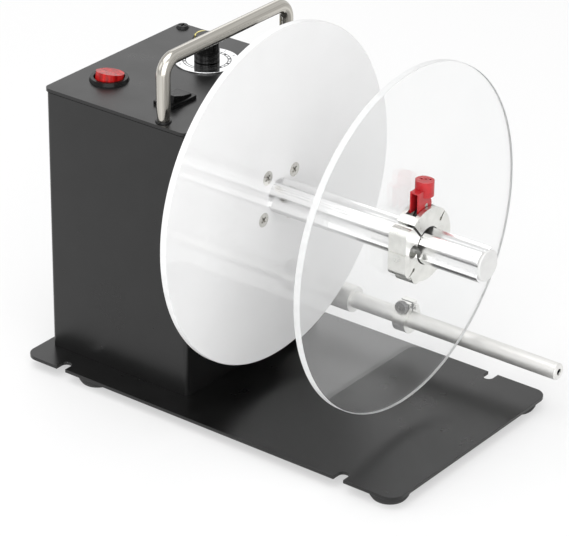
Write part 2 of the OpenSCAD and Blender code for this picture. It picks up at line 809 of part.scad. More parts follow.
module button_housing() color("#181818") translate([bx, by, z_top]) difference() {
  union() {
    cylinder(d1 = button_d, d2 = button_d - bezel_bevel, h = bezel_h);
    translate([0, 0, -switch_h]) cylinder(d = button_body_d, h = switch_h + eps);
    for (x = [-blade_step/2, blade_step/2]) translate([x - blade_t, -blade_t/2, -switch_h - blade_l/2])
      cube([2*blade_t, blade_t, blade_l/2 + eps]);
  }
  translate([0, 0, -key_drop]) cylinder(d = button_cap_d + 2*air, h = key_drop + bezel_h + cut);
}

module push_button() color("#e2d65c") translate([bx, by, z_top]) {
  translate([0, 0, -key_drop + button_travel + air]) cylinder(d = button_cap_d, h = key_drop + bezel_h - air);
  translate([0, 0, bezel_h + button_travel - eps])
    cylinder(d1 = button_cap_d, d2 = button_cap_d - bezel_bevel, h = button_dome);
}

module power_inlet() color("#202020") translate([inlet_x, y_wall, inlet_z]) difference() {
  union() {
    translate([0, -inlet_l, 0]) ycyl(inlet_d, inlet_l + panel_t + eps);
    translate([0, panel_t, 0]) ycyl(inlet_flange_d, bezel_h);
    translate([0, -inlet_nut_t, 0]) ycyl(inlet_flange_d, inlet_nut_t, $fn = 6);
    for (x = [-blade_step/2, blade_step/2]) translate([x - blade_t, -inlet_l - blade_l, -blade_t/2])
      cube([2*blade_t, blade_l + eps, blade_t]);
  }
  difference() {
    translate([0, -inlet_l + inlet_floor, 0]) ycyl(jack_d, inlet_l + panel_t + bezel_h);
    translate([0, -inlet_l, 0]) ycyl(jack_pin_d, inlet_l + panel_t);
  }
}

module control_board() color("#1e5a36") difference() {
  translate([board_x0, board_y0, z_board]) cube([board_l, board_w, board_t]);
  for (p = board_at) translate([p[0], p[1], z_board]) hole(m3_d, board_t);
}

// Finned heat sink, two capacitors, terminal block and relay
module board_parts() color("#3a3a3c") translate([board_x0, board_y0, z_parts]) {
  translate([board_l*0.16, board_w*0.26, 0]) {
    cube([sink_l, sink_w, sink_base_t]);
    for (i = [0:sink_fins - 1]) translate([i*(sink_l - sink_base_t)/(sink_fins - 1), 0, sink_base_t - eps])
      cube([sink_base_t, sink_w, sink_fin_h]);
  }
  for (x = [0.56, 0.71]) translate([board_l*x, board_w*0.66, 0]) cylinder(d = capacitor_d, h = capacitor_h);
  translate([board_l*0.49, board_w*0.08, 0]) cube([terminal_l, terminal_w, terminal_h]);
  translate([board_l*0.82, board_w*0.26, 0]) cube([relay_l, sink_w, relay_h]);
}

module board_standoffs() color("#b9bcbe") for (p = board_at) translate([p[0], p[1], z_base]) {
  cylinder(d = small_d, h = standoff_h);
  translate([0, 0, standoff_h - eps]) cylinder(d = m3_d, h = board_t + 2*eps);
  translate([0, 0, standoff_h + board_t]) cylinder(d = small_d, h = small_h);
}

module gearmotor() color("#a9abad") translate([x_mount1, 0, z_motor]) difference() {
  union() {
    xcyl(motor_d, gearbox_l);
    translate([gearbox_l - eps, 0, 0]) xcyl(motor_d - can_step, motor_l);
    translate([gearbox_l + motor_l - eps, 0, 0]) xcyl(motor_boss_d, can_step);
    for (y = [-motor_tag, motor_tag]) translate([gearbox_l + motor_l - eps, y - blade_t, -blade_t/2])
      cube([motor_tag_l, 2*blade_t, blade_t]);
    translate([-mount_t, 0, 0]) xcyl(motor_boss_d, mount_t + eps);
  }
  translate([-mount_t - cut, 0, 0]) xcyl(motor_shaft_d + 2*run_fit, gearbox_l - shaft_end + mount_t + cut);
  for (p = motor_at) translate([-cut, p[0], p[1]]) xcyl(m3_d + 2*seat_fit, motor_screw_l + cut);
}

module motor_shaft() color("#c6c7c8") translate([x_pulley0 - shaft_past, 0, z_motor])
  xcyl(motor_shaft_d, x_mount1 - x_pulley0 + gearbox_l - shaft_end);

module motor_bracket() color("#85888b") difference() {
  union() {
    translate([x_mount1 - mount_t, -mount_w/2, z_base])
      cube([mount_t, mount_w, z_motor - z_base + mount_w/2]);
    translate([x_mount1 - eps, -mount_w/2, z_base]) cube([mount_foot, mount_w, mount_t]);
  }
  translate([x_mount1 - mount_t, 0, z_motor]) xhole(motor_boss_d, mount_t);
  for (p = motor_at) translate([x_mount1 - mount_t, p[0], z_motor + p[1]]) xhole(m3_d, mount_t);
  for (p = mount_at) translate([p[0], p[1], z_base]) hole(m4_d, mount_t);
}

module motor_screws() color("#8a8d90") for (p = motor_at)
  translate([x_mount1 - mount_t, p[0], z_motor + p[1]]) rotate([0, -90, 0])
    pan_screw(small_d, small_h, m3_d, mount_t + motor_screw_l);

module bracket_screws() color("#8a8d90") for (p = mount_at) translate([p[0], p[1], z_base + mount_t])
  pan_screw(pan_d, pan_h, m4_d, mount_t + base_t);

module pulley(seat_d, bore_d) {
  difference() {
    union() {
      xcyl(seat_d, pulley_w);
      for (x = [0, pulley_w - rim_t]) translate([x, 0, 0]) xcyl(seat_d + 2*rim_h, rim_t);
    }
    translate([-cut, 0, 0]) xcyl(bore_d, pulley_w + 2*cut);
  }
}

module motor_pulley() color("#9da0a3") translate([x_pulley0, 0, z_motor])
  pulley(driver_d, motor_shaft_d + 2*seat_fit);

module belt_loop(extra) {
  r1 = driven_d/2 + air + extra;
  r2 = driver_d/2 + air + extra;
  t = asin((r1 - r2)/belt_span);
  circle(r = r1);
  translate([0, -belt_span]) circle(r = r2);
  polygon([[r1*cos(t), -r1*sin(t)], [-r1*cos(t), -r1*sin(t)],
    [-r2*cos(t), -belt_span - r2*sin(t)], [r2*cos(t), -belt_span - r2*sin(t)]]);
}

module drive_belt() color("#1b1b1b") translate([x_belt - belt_w/2, 0, z_axis]) difference() {
  xprism(belt_w) belt_loop(belt_t);
  translate([-cut, 0, 0]) xprism(belt_w + 2*cut) belt_loop(0);
}

module driven_pulley() color("#9da0a3") translate([x_pulley0, 0, z_axis])
  pulley(driven_d, shaft_d + 2*seat_fit);

module drive_shaft() color("#c2c4c6") {
  translate([x_pulley0 - shaft_past, 0, z_axis]) xcyl(shaft_d, x_disc - x_pulley0 + shaft_past);
  translate([x_disc - eps, 0, z_axis]) xcyl(spindle_bore - 2*seat_fit, disc_t + stub_l);
}

module bearing_housing() color("#8f9295") translate([0, 0, z_axis]) difference() {
  union() {
    translate([x_housing0, 0, 0]) xcyl(housing_d, housing_l);
    translate([x_wall - housing_flange_t, 0, 0]) xcyl(housing_flange_d, housing_flange_t);
    translate([x_wall - eps, 0, 0]) xcyl(nose_d, sheet_t + nose_out);
  }
  translate([x_housing0 - cut, 0, 0]) xcyl(bearing_d - 2*shoulder, housing_l + sheet_t + nose_out + 2*cut);
  translate([x_housing0 - cut, 0, 0]) xcyl(bearing_d + 2*seat_fit, bearing_w + cut);
  translate([x_nose - bearing_w, 0, 0]) xcyl(bearing_d + 2*seat_fit, bearing_w + 2*cut);
  for (p = housing_at) translate([x_wall - housing_flange_t - cut, p[0], p[1]])
    xcyl(m4_d + 2*seat_fit, housing_flange_t + 2*cut);
}

module bearing() {
  rotate([0, 90, 0]) {
    difference() {
      cylinder(d = bearing_d, h = bearing_w);
      translate([0, 0, -cut]) cylinder(d = bearing_d - 2*race_t, h = bearing_w + 2*cut);
    }
    difference() {
      translate([0, 0, seal_in]) cylinder(d = bearing_d - 2*race_t + eps, h = bearing_w - 2*seal_in);
      translate([0, 0, -cut]) cylinder(d = shaft_d + 2*race_t, h = bearing_w + 2*cut);
    }
    difference() {
      cylinder(d = shaft_d + 2*race_t + eps, h = bearing_w);
      translate([0, 0, -cut]) cylinder(d = shaft_d + 2*run_fit, h = bearing_w + 2*cut);
    }
  }
}

module ball_bearings() color("#b4b7b9") for (x = [x_housing0, x_nose - bearing_w])
  translate([x, 0, z_axis]) bearing();

module housing_screws() color("#6d6f71") for (p = housing_at) translate([cab_x1, p[0], z_axis + p[1]])
  rotate([0, 90, 0]) pan_screw(pan_d, pan_h, m4_d, sheet_t + housing_flange_t);

module hub_flange() color("#a4a7a9") translate([0, 0, z_axis]) difference() {
  union() {
    translate([x_hub, 0, 0]) xcyl(hub_d, hub_t);
    translate([x_disc - eps, 0, 0]) xcyl(pilot_d, disc_t);
  }
  translate([x_hub - cut, 0, 0]) xcyl(shaft_d + 2*seat_fit, hub_t + cut);
  translate([x_disc - cut, 0, 0]) xcyl(spindle_bore, disc_t + 2*cut);
  for (a = [0:90:270]) rotate([disc_screw_turn + a, 0, 0])
    translate([x_hub - cut, disc_screw_r, 0]) xcyl(m4_d + 2*seat_fit, hub_t + 2*cut);
}

module rear_disc() color("#f0f0ee") translate([x_disc, 0, z_axis]) difference() {
  xcyl(disc_d, disc_t);
  translate([-cut, 0, 0]) xcyl(pilot_d + 2*seat_fit, disc_t + 2*cut);
  sink = (sunk_d - m4_d)/2;
  for (a = [0:90:270]) rotate([disc_screw_turn + a, 0, 0])
    translate([0, disc_screw_r, 0]) rotate([0, 90, 0]) {
      hole(m4_d, disc_t);
      translate([0, 0, disc_t - sink])
        cylinder(d1 = m4_d + 2*seat_fit, d2 = sunk_d + 2*seat_fit, h = sink + eps);
    }
}

module disc_screws() color("#c4c4c0") translate([x_face, 0, z_axis]) for (a = [0:90:270])
  rotate([disc_screw_turn + a, 0, 0]) translate([0, disc_screw_r, 0]) rotate([0, 90, 0])
    sunk_screw(sunk_d, m4_d, disc_t + hub_t);

// Round bar with four shallow flutes on the axes and fine score lines on the lands between them
module spindle_plan() {
  flute_r = (flute_w*flute_w/4 + flute_depth*flute_depth)/(2*flute_depth);
  rim = spindle_d/2 - sqrt(spindle_d*spindle_d/4 - flute_w*flute_w/4);
  difference() {
    circle(d = spindle_d);
    circle(d = spindle_bore);
    for (a = [0:90:270]) rotate(a) translate([spindle_d/2 - rim - flute_depth + flute_r, 0])
      circle(r = flute_r);
    for (a = [45:90:315], s = [-score_turn, score_turn]) rotate(a + s) translate([spindle_d/2, 0])
      square([2*score_depth, score_w], center = true);
  }
}

module spindle() color("#d9dada") translate([x_face, 0, z_axis]) xprism(spindle_out - cap_t) spindle_plan();

module end_cap() color("#f2f2f0") translate([x_end - cap_t, 0, z_axis]) {
  xcyl(cap_d, cap_t);
  translate([-plug_l, 0, 0]) xcyl(spindle_bore - 2*seat_fit, plug_l + eps);
}

module front_disc() color("#e9f0f2", 0.5) translate([x_front, 0, z_axis]) difference() {
  xcyl(disc_d, disc_t);
  translate([-cut, 0, 0]) xcyl(2*collar_bore, disc_t + 2*cut);
  for (a = flange_turns) rotate([a, 0, 0]) translate([-eps, flange_r, 0]) {
    translate([-cut, 0, 0]) xcyl(m3_d + 2*seat_fit, disc_t + 2*cut);
    rotate([0, 90, 0]) cylinder(d1 = small_d, d2 = m3_d, h = sink_h);
  }
}

module flange_screws() color("#b9bab8") translate([x_front, 0, z_axis]) for (a = flange_turns)
  rotate([a, 0, 0]) translate([0, flange_r, 0]) difference() {
    union() {
      rotate([0, 90, 0]) cylinder(d1 = small_d - 2*seat_fit, d2 = m3_d, h = sink_h);
      xcyl(m3_d, disc_t + flange_screw_l);
    }
    for (b = [0, 90]) rotate([b, 0, 0]) translate([-eps, -small_d*0.25, -small_d*0.05])
      cube([sink_h*0.5, small_d*0.5, small_d*0.1]);
  }

// Split ring: thick lug beside the split, a lobe below it, a relief hole into the bore and radial slots
module clamp_collar() color("#c3c4c0") translate([x_collar, 0, z_axis]) difference() {
  xprism(collar_w) difference() {
    union() {
      translate([0, ring_up]) circle(d = collar_d);
      translate([-lug_y + lug_w/2, (lug_top - lug_bottom)/2]) rrect(lug_w, lug_top + lug_bottom, lug_r);
      translate([-lobe_y, -lobe_z]) circle(r = lobe_r);
    }
    circle(r = collar_bore);
    translate([-collar_bore - relief_out, relief_z]) circle(r = relief_r);
    rotate(split_turn) translate([0, -split_w/2]) square([collar_d, split_w]);
  }
  translate([-cut, -lug_y - cut, seam_z - seam_w/2]) cube([collar_w + 2*cut, cut + seam_deep, seam_w]);
  for (a = slit_turns) rotate([a, 0, 0]) translate([collar_w - slit_deep, slit_r, 0]) {
    translate([0, 0, -slit_w/2]) cube([slit_deep + cut, collar_d/2, slit_w]);
    xcyl(slit_end_d, slit_deep + cut);
  }
  translate([collar_w/2, pin_y, pin_z]) rotate([stud_turn, 0, 0]) rotate([-90, 0, 0]) {
    cylinder(d = stud_d + 2*seat_fit, h = stud_l + seat_fit);
    cylinder(d = stud_d + 2*air, h = stud_free);
  }
  translate([(collar_w - block_w)/2 - air, pin_y - pocket_front, pin_z - pocket_low])
    cube([block_w + 2*air, pocket_l, collar_d]);
  for (a = flange_turns) rotate([a, 0, 0]) translate([-cut, flange_r, 0])
    xcyl(m3_d + 2*seat_fit, flange_screw_l + cut);
}

module clamp_stud() color("#9b9d9f") translate([x_mid, pin_y, z_axis + pin_z]) rotate([stud_turn, 0, 0])
  difference() {
    union() {
      ycyl(stud_d, stud_l);
      translate([-eye_w/2, 0, 0]) xcyl(pin_eye_d, eye_w);
    }
    translate([-stud_d, 0, 0]) xcyl(pin_d + 2*seat_fit, 2*stud_d);
  }

module lever_pin() color("#8a8d90") translate([x_mid - block_w/2, pin_y, z_axis + pin_z])
  xcyl(pin_d, block_w);

// Cam lever: slotted block over the stud, with a broad thumb paddle behind it
module cam_lever() color("#b5161f") translate([x_mid, pin_y, z_axis + pin_z]) difference() {
  tip = lever_top - pin_z;
  union() {
    translate([-block_w/2, 0, 0]) xprism(block_w) {
      circle(r = cam_r);
      translate([-block_front, -block_down]) square([block_front + paddle_y, block_up + block_down]);
    }
    translate([0, paddle_y, paddle_low]) linear_extrude(tip - paddle_low)
      rrect(paddle_w, paddle_t, paddle_r);
  }
  translate([-block_slot/2, -block_front - cut, -cam_r - cut])
    cube([block_slot, block_front + cut + slot_back, cam_r + cut + slot_up]);
  translate([-block_w/2 - cut, 0, 0]) xcyl(pin_d + 2*run_fit, block_w + 2*cut);
  translate([0, paddle_y + scallop_back, tip - scallop_deep]) rotate(scallop_turn)
    for (x = [-scallop_step, 0, scallop_step]) translate([x, 0, 0])
      cylinder(d = scallop_d, h = scallop_deep + cut);
}

module rod_bracket() color("#9c9ea0") translate([cab_x1, rod_y, z_rod]) difference() {
  arm_w = socket_d + 2*arm_over;
  arm_l = rod_y - cab_y1 + bracket_in + bracket_step + pan_d;
  union() {
    xprism(bracket_t) {
      circle(d = arm_w);
      translate([-arm_l, -arm_w/2]) square([arm_l, arm_w]);
    }
    translate([bracket_t - eps, 0, 0]) xcyl(socket_d, socket_l);
  }
  translate([rod_back, 0, 0]) xcyl(rod_d + 2*seat_fit, bracket_t + socket_l + 2*cut);
  for (y = bracket_at) translate([-cut, y - rod_y, 0]) xcyl(m4_d + 2*seat_fit, bracket_t + 2*cut);
  translate([bracket_t + socket_l/2, 0, -socket_d]) cylinder(d = m4_d + 2*seat_fit, h = socket_d);
}

module rod_bracket_screws() color("#6d6f71") for (y = bracket_at) translate([cab_x1 + bracket_t, y, z_rod])
  rotate([0, 90, 0]) pan_screw(pan_d, pan_h, m4_d, bracket_t + sheet_t + screw_past);

module guide_rod() color("#cfcdc8") translate([cab_x1 + rod_back, rod_y, z_rod]) difference() {
  rod_l = x_rod1 - cab_x1 - rod_back;
  union() {
    xcyl(rod_d, rod_l - rod_bevel);
    translate([rod_l - rod_bevel - eps, 0, 0]) rotate([0, 90, 0])
      cylinder(d1 = rod_d, d2 = rod_d - 2*rod_bevel, h = rod_bevel + eps);
  }
  translate([rod_l - rod_tap_l, 0, 0]) xcyl(rod_tap_d, rod_tap_l + cut);
}

module rod_set_screw() color("#4a4b4c") translate([x_socket + socket_l/2, rod_y, z_rod - socket_d/2])
  difference() {
    cylinder(d = m4_d, h = (socket_d - rod_d)/2 - seat_fit);
    translate([0, 0, -cut]) cylinder(d = hex_d*0.7, h = (socket_d - rod_d)/4 + cut, $fn = 6);
  }

// Split stop ring with a pinch lug on top and a small peg on its outer face
module stop_collar() color("#bdbdba") translate([x_stop, rod_y, z_rod]) difference() {
  union() {
    xcyl(stop_d, stop_w);
    translate([0, -lug_in, 0]) cube([stop_w, lug_in + lug_back, thumb_up + lug_over]);
    translate([stop_w - eps, peg_y, thumb_up - peg_drop]) xcyl(peg_d, peg_l);
  }
  translate([-cut, 0, 0]) xcyl(rod_d + 2*run_fit, stop_w + 2*cut);
  translate([-cut, -stop_split/2, 0]) cube([stop_w + 2*cut, stop_split, thumb_up + lug_over + cut]);
  translate([stop_w/2, -lug_in - cut, thumb_up]) ycyl(m3_d + 2*run_fit, lug_in + cut + lug_back - thumb_end);
  translate([stop_w/2, -lug_in - stop_d, thumb_up]) ycyl(thumb_d + thumb_rib + 2*air, stop_d);
}

module thumb_screw() color("#77797b") translate([x_stop + stop_w/2, rod_y - lug_in - air, z_rod + thumb_up])
  difference() {
    union() {
      translate([0, -thumb_h, 0]) ycyl(thumb_d, thumb_h);
      for (a = [0:360/thumb_ribs:359]) rotate([0, a, 0]) translate([thumb_d/2, -thumb_h, 0])
        ycyl(thumb_rib, thumb_h - thumb_rib);
      translate([0, -eps, 0]) ycyl(m3_d, lug_in + lug_back - 3*thumb_end);
    }
    translate([0, -thumb_h - cut, 0]) ycyl(hex_d, thumb_h*0.4 + cut, $fn = 6);
  }

module wire(d, pts) {
  for (i = [0:len(pts) - 2]) {
    v = pts[i + 1] - pts[i];
    l = norm(v);
    translate(pts[i]) {
      sphere(d = d, $fn = 8);
      rotate([0, acos(v[2]/l), atan2(v[1], v[0])]) cylinder(d = d, h = l, $fn = 8);
    }
  }
  translate(pts[len(pts) - 1]) sphere(d = d, $fn = 8);
}

// Wires from the terminal block to the inlet, the two switches and the motor
module wiring_loom() color("#7a2222") {
  step = terminal_l/5;
  x0 = board_x0 + board_l*0.49 + step;
  yb = board_y0 + board_w*0.08 + terminal_w/2;
  zb = z_parts + terminal_h + wire_d/2 + seat_fit;
  zk = z_top - switch_h - blade_l - wire_d/2 - seat_fit;
  y_front = board_y0 - 2*wire_d;
  y_rise = -driven_d/2 - rim_h - 3*wire_d;
  x_run = x_mount1 + mount_foot + 2*wire_d;
  x_tail = x_mount1 + gearbox_l + motor_l + motor_tag_l + wire_d/2 + seat_fit;
  y_jack = y_wall - inlet_l - blade_l - wire_d/2 - seat_fit;
  wire(wire_d, [[inlet_x, y_jack, inlet_z], [inlet_x, y_jack - 2*wire_d, inlet_z],
    [inlet_x, yb, zb + 4*wire_d], [x0, yb, zb + 2*wire_d], [x0, yb, zb]]);
  for (i = [1, 2]) {
    x = x0 + i*step;
    xr = x_run + (i - 1)*2*wire_d;
    xk = i == 1 ? px : dx;
    wire(wire_d, [[x, yb, zb], [x, yb, zb + 2*wire_d], [x, y_front, zb], [xr, y_front, z_base + 2*wire_d],
      [xr, y_rise, z_base + 2*wire_d], [xr, y_rise, zk - (4 - i)*4*wire_d], [xk, y_rise, zk - 2*wire_d],
      [xk, sy, zk]]);
  }
  wire(wire_d, [[x0 + 3*step, yb, zb], [x0 + 3*step, yb, zb + wire_d],
    [x_tail, motor_tag + wire_d, z_motor], [x_tail, motor_tag, z_motor]]);
}

base_plate();
rubber_feet();
foot_nuts();
cabinet_shell();
base_screws();
rear_panel();
panel_screws();
top_cover();
cover_screws();
carry_handle();
handle_washers();
handle_bolts();
power_switch();
power_rocker();
direction_switch();
direction_rocker();
dial_plate();
potentiometer();
pot_shaft();
speed_knob();
button_housing();
push_button();
power_inlet();
control_board();
board_parts();
board_standoffs();
gearmotor();
motor_shaft();
motor_bracket();
motor_screws();
bracket_screws();
motor_pulley();
drive_belt();
driven_pulley();
drive_shaft();
bearing_housing();
ball_bearings();
housing_screws();
hub_flange();
rear_disc();
disc_screws();
spindle();
end_cap();
front_disc();
flange_screws();
clamp_collar();
clamp_stud();
lever_pin();
cam_lever();
rod_bracket();
rod_bracket_screws();
guide_rod();
rod_set_screw();
stop_collar();
thumb_screw();
wiring_loom();
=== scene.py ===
import json
import math
import bpy
import bmesh
from mathutils import Matrix, Vector


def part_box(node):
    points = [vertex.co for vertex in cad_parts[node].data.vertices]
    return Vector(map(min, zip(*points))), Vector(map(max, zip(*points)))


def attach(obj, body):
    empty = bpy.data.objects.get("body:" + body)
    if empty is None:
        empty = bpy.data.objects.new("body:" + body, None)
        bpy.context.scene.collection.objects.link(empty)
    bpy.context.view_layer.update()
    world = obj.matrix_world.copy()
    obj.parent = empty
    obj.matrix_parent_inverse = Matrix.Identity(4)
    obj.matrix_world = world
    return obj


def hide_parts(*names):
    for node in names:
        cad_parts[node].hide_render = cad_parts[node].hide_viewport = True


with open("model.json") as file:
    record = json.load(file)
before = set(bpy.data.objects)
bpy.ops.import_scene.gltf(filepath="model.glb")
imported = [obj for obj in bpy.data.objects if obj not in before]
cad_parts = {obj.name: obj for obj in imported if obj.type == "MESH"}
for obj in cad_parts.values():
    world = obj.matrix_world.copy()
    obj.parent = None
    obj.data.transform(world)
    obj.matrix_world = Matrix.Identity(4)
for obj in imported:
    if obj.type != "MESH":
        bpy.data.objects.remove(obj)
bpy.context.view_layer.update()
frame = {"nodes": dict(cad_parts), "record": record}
nodes = frame["nodes"]
record = frame["record"]
bodyOf = {node: body for body, names in record["behaviour"]["bodies"].items() for node in names}
mm = 0.001
fullTurn = 2 * math.pi
scene = bpy.context.scene
scene.view_settings.view_transform = "Standard"

# camera, as the picture was taken; focal length in pixels of the frame
shot = {"place": (0.91657, -1.21487, 0.85165), "azimuth": 37.192, "elevation": 26.969,
        "roll": 0.614, "focal": 3027.24, "frameWidth": 569, "sensor": 36, "clip": (0.05, 50)}


def link(thing):
    scene.collection.objects.link(thing)
    return thing


def placeCamera():
    a, e, r = (math.radians(shot[k]) for k in ("azimuth", "elevation", "roll"))
    ahead = Vector((-math.sin(a) * math.cos(e), math.cos(a) * math.cos(e), -math.sin(e)))
    right = Vector((math.cos(a), math.sin(a), 0))
    up = right.cross(ahead)
    side = math.cos(r) * right + math.sin(r) * up
    top = math.cos(r) * up - math.sin(r) * right
    data = bpy.data.cameras.new("camera")
    data.sensor_width = shot["sensor"]
    data.lens = shot["sensor"] * shot["focal"] / shot["frameWidth"]
    data.clip_start, data.clip_end = shot["clip"]
    camera = link(bpy.data.objects.new("camera", data))
    turn = Matrix((side, top, -ahead)).transposed().to_4x4()
    camera.matrix_world = Matrix.Translation(shot["place"]) @ turn
    scene.camera = camera


placeCamera()
print("camera placed")

# finishes: tint and roughness vary in patches, and a fine bump lies over them
plainLook = {"patch": 30, "stretch": (1, 1, 1), "along": None, "metal": 0, "ior": 1.5,
             "specular": 0.5, "clear": 0, "fine": 1500, "bump": 0, "bumpStrength": 0.5}
patchNoise = {"detail": 3, "roughSpan": (0.3, 0.7), "tintSpan": (0.35, 0.65)}


def grey(level):
    return (level, level, level)


def newTree(name):
    material = bpy.data.materials.new(name)
    material.use_nodes = True
    tree = material.node_tree
    return material, tree, tree.nodes["Principled BSDF"]


def grain(tree, scale, stretch, along):
    if along:  # streaks that follow the piece
        coords = tree.nodes.new("ShaderNodeAttribute")
        coords.attribute_name = along
        start = coords.outputs["Vector"]
    else:
        coords = tree.nodes.new("ShaderNodeTexCoord")
        start = coords.outputs["Object"]
    mapping = tree.nodes.new("ShaderNodeMapping")
    mapping.inputs["Scale"].default_value = stretch
    noise = tree.nodes.new("ShaderNodeTexNoise")
    noise.inputs["Scale"].default_value = scale
    noise.inputs["Detail"].default_value = patchNoise["detail"]
    tree.links.new(start, mapping.inputs["Vector"])
    tree.links.new(mapping.outputs["Vector"], noise.inputs["Vector"])
    return noise.outputs["Fac"]


def spread(tree, value, low, high):
    ranged = tree.nodes.new("ShaderNodeMapRange")
    ranged.inputs["From Min"].default_value, ranged.inputs["From Max"].default_value = patchNoise["roughSpan"]
    ranged.inputs["To Min"].default_value = low
    ranged.inputs["To Max"].default_value = high
    tree.links.new(value, ranged.inputs["Value"])
    return ranged.outputs["Result"]


def tintRamp(tree, value, dark, light):
    ramp = tree.nodes.new("ShaderNodeValToRGB")
    ends = ramp.color_ramp.elements
    for end, place, tint in zip(ends, patchNoise["tintSpan"], (dark, light)):
        end.position = place
        end.color = (*tint, 1)
    tree.links.new(value, ramp.inputs["Fac"])
    return ramp.outputs["Color"]


def finishOf(own):
    look = {**plainLook, **own}
    material, tree, shader = newTree(look["name"])
    patches = grain(tree, look["patch"], look.get("patchStretch", look["stretch"]), look["along"])
    tree.links.new(tintRamp(tree, patches, look["dark"], look["light"]), shader.inputs["Base Color"])
    tree.links.new(spread(tree, patches, *look["rough"]), shader.inputs["Roughness"])
    shader.inputs["Metallic"].default_value = look["metal"]
    shader.inputs["IOR"].default_value = look["ior"]
    shader.inputs["Specular IOR Level"].default_value = look["specular"]
    shader.inputs["Transmission Weight"].default_value = look["clear"]
    if look["bump"]:
        bump = tree.nodes.new("ShaderNodeBump")
        bump.inputs["Strength"].default_value = look["bumpStrength"]
        bump.inputs["Distance"].default_value = look["bump"]
        tree.links.new(grain(tree, look["fine"], look["stretch"], look["along"]), bump.inputs["Height"])
        tree.links.new(bump.outputs["Normal"], shader.inputs["Normal"])
    return material


# pieces
easing = {"weld": 0.002, "flat": 0.6, "smooth": 32, "angle": 34, "profile": 0.5}


def addPiece(name, mesh, body, material):
    piece = link(bpy.data.objects.new(name, mesh))
    mesh.materials.clear()
    mesh.materials.append(material)
    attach(piece, body)
    return piece


def meshFrom(bm, name):
    mesh = bpy.data.meshes.new(name)
    bm.to_mesh(mesh)
    bm.free()
    return mesh


def smoothShade(mesh, angle):
    mesh.polygons.foreach_set("use_smooth", [True] * len(mesh.polygons))
    mesh.set_sharp_from_angle(angle=math.radians(angle))


def eased(node, width, segments, material):
    bm = bmesh.new()
    bm.from_mesh(nodes[node].data)
    bmesh.ops.remove_doubles(bm, verts=bm.verts, dist=easing["weld"] * mm)
    bmesh.ops.dissolve_limit(bm, angle_limit=math.radians(easing["flat"]), verts=bm.verts, edges=bm.edges)
    mesh = meshFrom(bm, node + "_eased")
    smoothShade(mesh, easing["smooth"])
    piece = addPiece(node + "_eased", mesh, bodyOf[node], material)
    ease = piece.modifiers.new("ease", "BEVEL")
    ease.width = width * mm
    ease.segments = segments
    ease.limit_method = "ANGLE"
    ease.angle_limit = math.radians(easing["angle"])
    ease.harden_normals = True
    ease.profile = easing["profile"]
    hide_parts(node)
    return piece


# a look's "ease" gives each piece's edge width in mm and its segments; "inner" pieces keep sharp edges
def wear(look):
    finish = finishOf(look)
    for node, (width, segments) in look.get("ease", {}).items():
        eased(node, width, segments, finish)
    for node in look.get("inner", ()):
        nodes[node].data.materials.clear()
        nodes[node].data.materials.append(finish)
    return finish


def topCentre(node):
    low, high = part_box(node)
    return Matrix.Translation(((low[0] + high[0]) / 2, (low[1] + high[1]) / 2, high[2]))


def spun(bm, points, axis, steps, closed=True):
    line = [bm.verts.new(point) for point in points]
    ends = line[1:] + line[:1] if closed else line[1:]
    edges = [bm.edges.new(pair) for pair in zip(line, ends)]
    bmesh.ops.spin(bm, geom=line + edges, cent=(0, 0, 0), axis=axis, angle=fullTurn, steps=steps,
                   use_merge=True)


# powder-coated sheet, feet and fasteners
coat = {"name": "powder_coat", "dark": grey(0.003), "light": grey(0.005), "rough": (0.27, 0.33),
        "ior": 1.48, "patch": 60, "fine": 1900, "bump": 0.00003, "bumpStrength": 0.3,
        "ease": {"base_plate": (0.4, 2), "top_cover": (0.4, 2), "cabinet_shell": (0.25, 2),
                 "rear_panel": (0.25, 2)}}
footRubber = {"name": "foot_rubber", "dark": grey(0.012), "light": grey(0.02), "rough": (0.6, 0.75),
              "patch": 150, "fine": 2500, "bump": 0.00008, "ease": {"rubber_feet": (0.8, 3)}}
plated = {"name": "plated_steel", "dark": (0.5, 0.49, 0.46), "light": (0.62, 0.61, 0.58),
          "rough": (0.25, 0.38), "metal": 1, "patch": 400, "fine": 3000, "bump": 0.00002,
          "ease": {"disc_screws": (0.12, 2), "flange_screws": (0.12, 2), "lever_pin": (0.12, 2),
                   "housing_screws": (0.12, 2), "rod_bracket_screws": (0.12, 2),
                   "foot_nuts": (0.12, 2), "base_screws": (0.12, 2), "handle_bolts": (0.12, 2)},
          "inner": ("motor_screws", "bracket_screws", "board_standoffs")}
blackened = {"name": "blackened_steel", "dark": (0.006, 0.006, 0.0065), "light": (0.01, 0.01, 0.0105),
             "rough": (0.25, 0.36), "specular": 0.22, "patch": 400, "fine": 3000, "bump": 0.00002,
             "ease": {"cover_screws": (0.15, 2), "panel_screws": (0.15, 2), "rod_set_screw": (0.15, 2),
                      "clamp_stud": (0.15, 2)}}
greySteel = {"name": "grey_steel", "dark": grey(0.13), "light": grey(0.18), "rough": (0.3, 0.42),
             "metal": 1, "patch": 500, "fine": 3000, "bump": 0.00002, "ease": {"thumb_screw": (0.12, 2)}}
for look in (coat, footRubber, plated, blackened, greySteel):
    wear(look)
print("cabinet and fasteners coated")

# handle, with brushing that follows its bends
handleSteel = {"name": "brushed_handle", "dark": (0.44, 0.42, 0.38), "light": (0.62, 0.6, 0.55),
               "rough": (0.12, 0.22), "metal": 1, "along": "drawn", "patch": 3.2,
               "stretch": (1, 1, 2), "fine": 22, "bump": 0.00003}
handle = {"node": "carry_handle", "bend": 9, "width": 0.1, "segments": 2}


